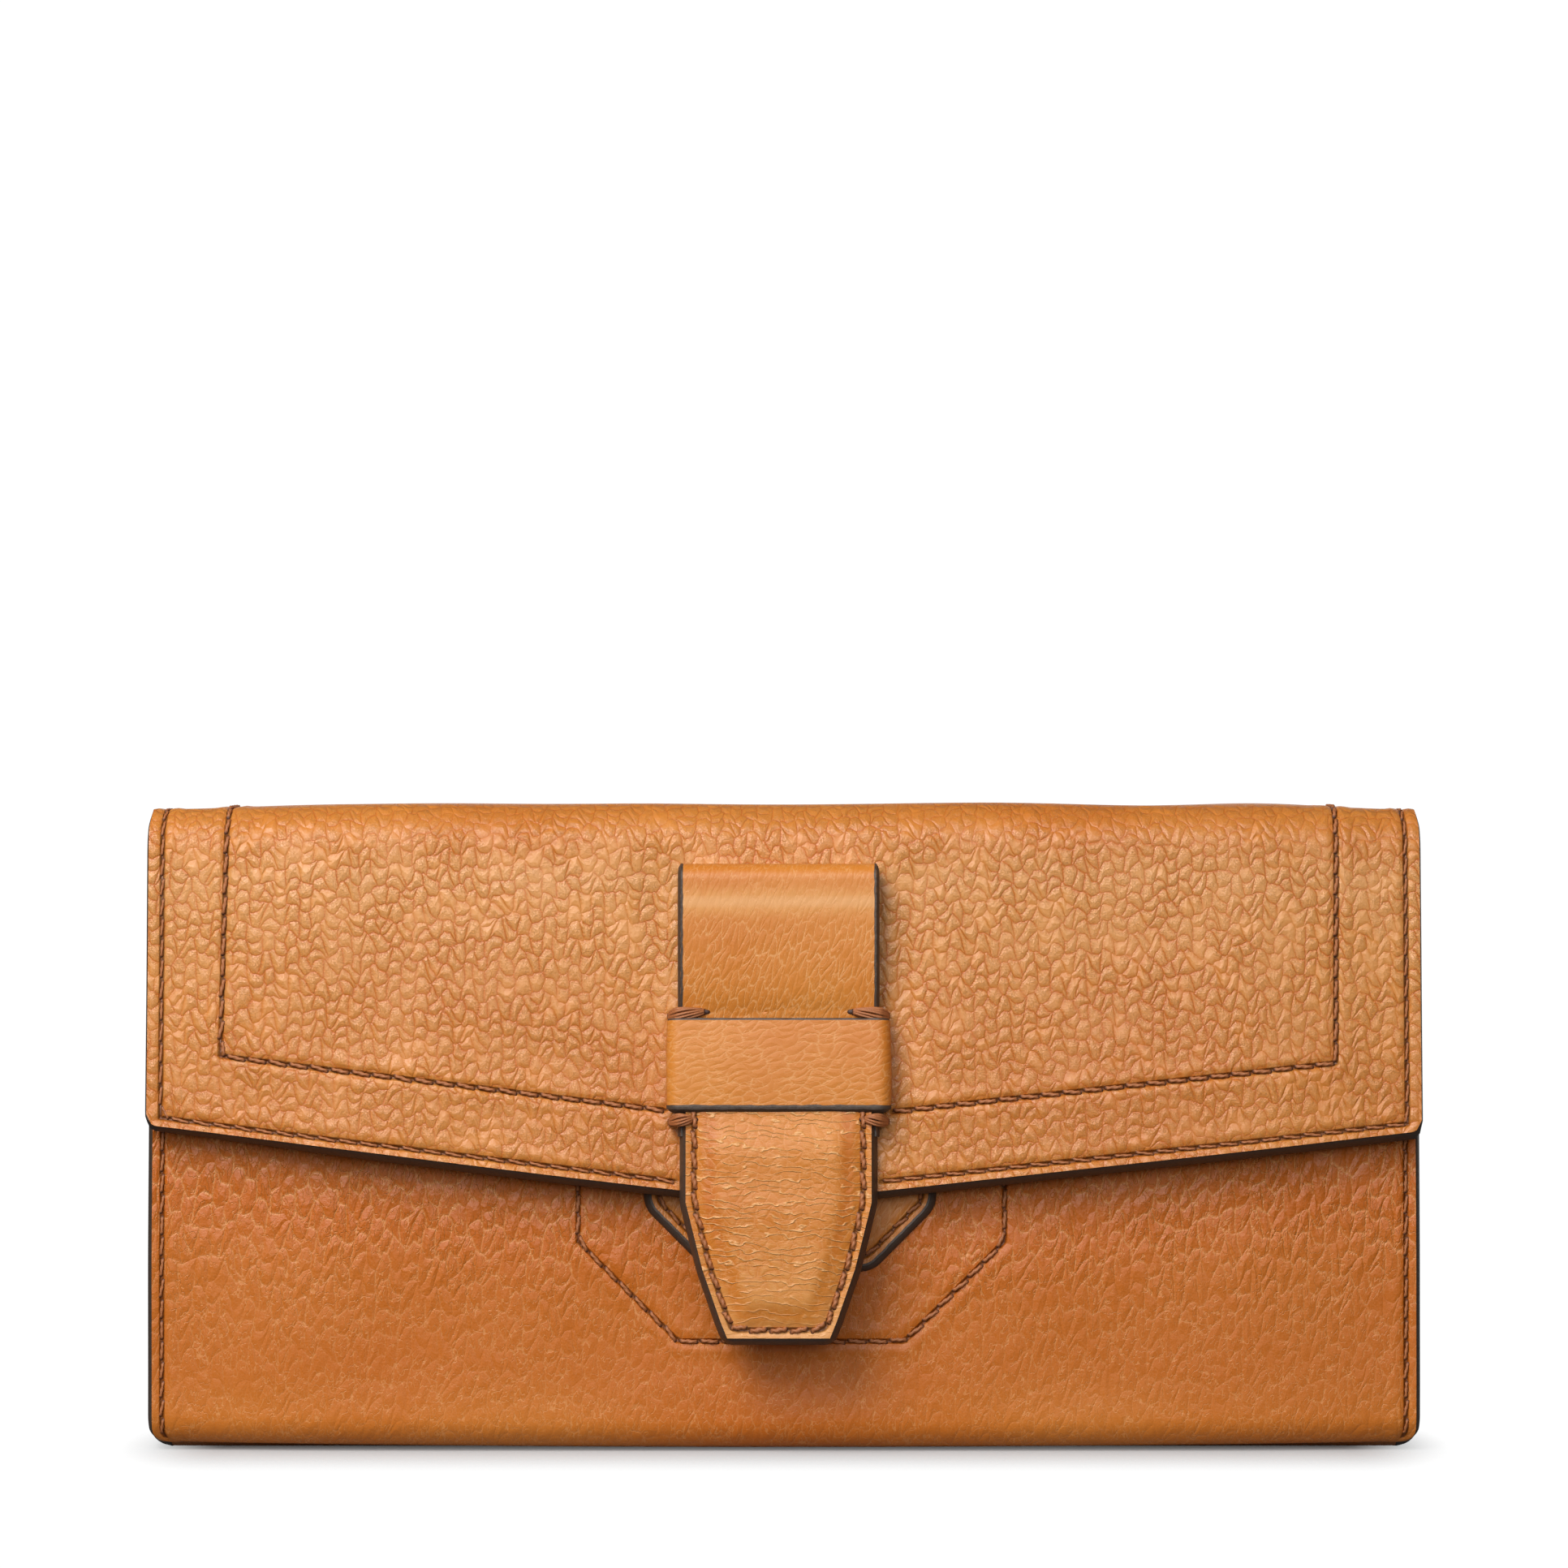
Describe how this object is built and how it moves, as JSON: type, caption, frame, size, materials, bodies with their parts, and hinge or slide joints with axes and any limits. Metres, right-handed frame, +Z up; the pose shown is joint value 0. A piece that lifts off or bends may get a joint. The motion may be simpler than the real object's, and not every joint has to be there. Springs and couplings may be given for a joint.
{
  "type": "long wallet",
  "caption": "Long flap wallet with a strap, keeper and padded tongue over a hidden snap, gusseted sides, card slots and a zip pocket.",
  "frame": {"origin": "middle of the flat base that the wallet stands on", "axes": "+Z up, the flap and strap face -Y, +X to the right as seen from the front"},
  "size_m": [0.1906, 0.0315, 0.0974],
  "materials": {
    "grain_leather": "pebbled full-grain leather, semi-matt",
    "smooth_leather": "finely creased leather, soft sheen",
    "lining": "smooth lining leather, matt",
    "board": "pressed fibre board, matt",
    "foam": "soft foam, matt",
    "thread": "waxed twisted thread",
    "zip_tape": "woven tape",
    "brass": "polished brass"
  },
  "bodies": {
    "back": {"back_panel": "grain_leather", "back_stiffener": "board", "back_lining": "lining", "pocket_wall": "lining", "card_slot_left_top": "smooth_leather", "card_slot_left_middle": "smooth_leather", "card_slot_left_bottom": "smooth_leather", "card_slot_right_top": "smooth_leather", "card_slot_right_middle": "smooth_leather", "card_slot_right_bottom": "smooth_leather", "gusset_left": "lining", "gusset_right": "lining", "zip_tape_front": "zip_tape", "zip_tape_back": "zip_tape", "zip_teeth_front": "brass", "zip_teeth_back": "brass", "zip_stop_left": "brass", "zip_stop_right": "brass", "back_thread_left": "thread", "back_thread_right": "thread"},
    "top_spine": {"spine_leather": "grain_leather", "spine_lining": "lining", "spine_thread_left": "thread", "spine_thread_right": "thread"},
    "flap": {"flap_leather": "grain_leather", "flap_stiffener": "board", "flap_lining": "lining", "strap_loop": "smooth_leather", "keeper": "smooth_leather", "snap_socket": "brass", "snap_socket_washer": "brass", "bartack_upper_left": "thread", "bartack_upper_right": "thread", "bartack_lower_left": "thread", "bartack_lower_right": "thread", "flap_edge_thread_left": "thread", "flap_edge_thread_right": "thread", "flap_inner_thread_left": "thread", "flap_inner_thread_right": "thread"},
    "tongue": {"tongue_face": "smooth_leather", "tongue_pad": "foam", "tongue_backing": "smooth_leather", "tongue_thread": "thread"},
    "front_panel": {"front_leather": "grain_leather", "front_reinforcement": "board", "front_lining": "lining", "slip_pocket": "lining", "closure_patch": "smooth_leather", "snap_stud": "brass", "snap_stud_washer": "brass", "front_thread": "thread", "octagon_thread": "thread", "patch_thread": "thread"},
    "zip_slider": {"slider_top": "brass", "slider_bottom": "brass"},
    "zip_puller": {"puller_link": "brass", "puller_tab": "smooth_leather"}
  },
  "joints": [
    {"name": "flap_fold_back", "type": "hinge", "parent": "back", "child": "top_spine", "pos_m": [0, 0.00828, 0.09478], "axis": [-1, 0, 0], "range_deg": [0, 90]},
    {"name": "flap_fold_front", "type": "hinge", "parent": "top_spine", "child": "flap", "pos_m": [0, -0.009, 0.0947], "axis": [-1, 0, 0], "range_deg": [0, 90]},
    {"name": "front_spread", "type": "hinge", "parent": "back", "child": "front_panel", "pos_m": [0, -0.0065, 0.0045], "axis": [1, 0, 0], "range_deg": [0, 12], "deforming": ["gusset_left", "gusset_right"]},
    {"name": "tongue_flex", "type": "hinge", "parent": "flap", "child": "tongue", "pos_m": [0, -0.0176, 0.04922], "axis": [-1, 0, 0], "range_deg": [0, 20], "stiffness_Nm_per_rad": 0.01},
    {"name": "zip_slide", "type": "slide", "parent": "back", "child": "zip_slider", "axis": [-1, 0, 0], "range_m": [0, 0.14]},
    {"name": "puller_swing", "type": "hinge", "parent": "zip_slider", "child": "zip_puller", "pos_m": [0.07, 0.0057, 0.0742], "axis": [0, 1, 0], "range_deg": [0, 170]}
  ],
  "couplings": [
    {"joint": "flap_fold_front", "follows": "flap_fold_back", "ratio": 1},
    {"joint": "front_spread", "follows": "flap_fold_back", "ratio": 0.1333}
  ]
}
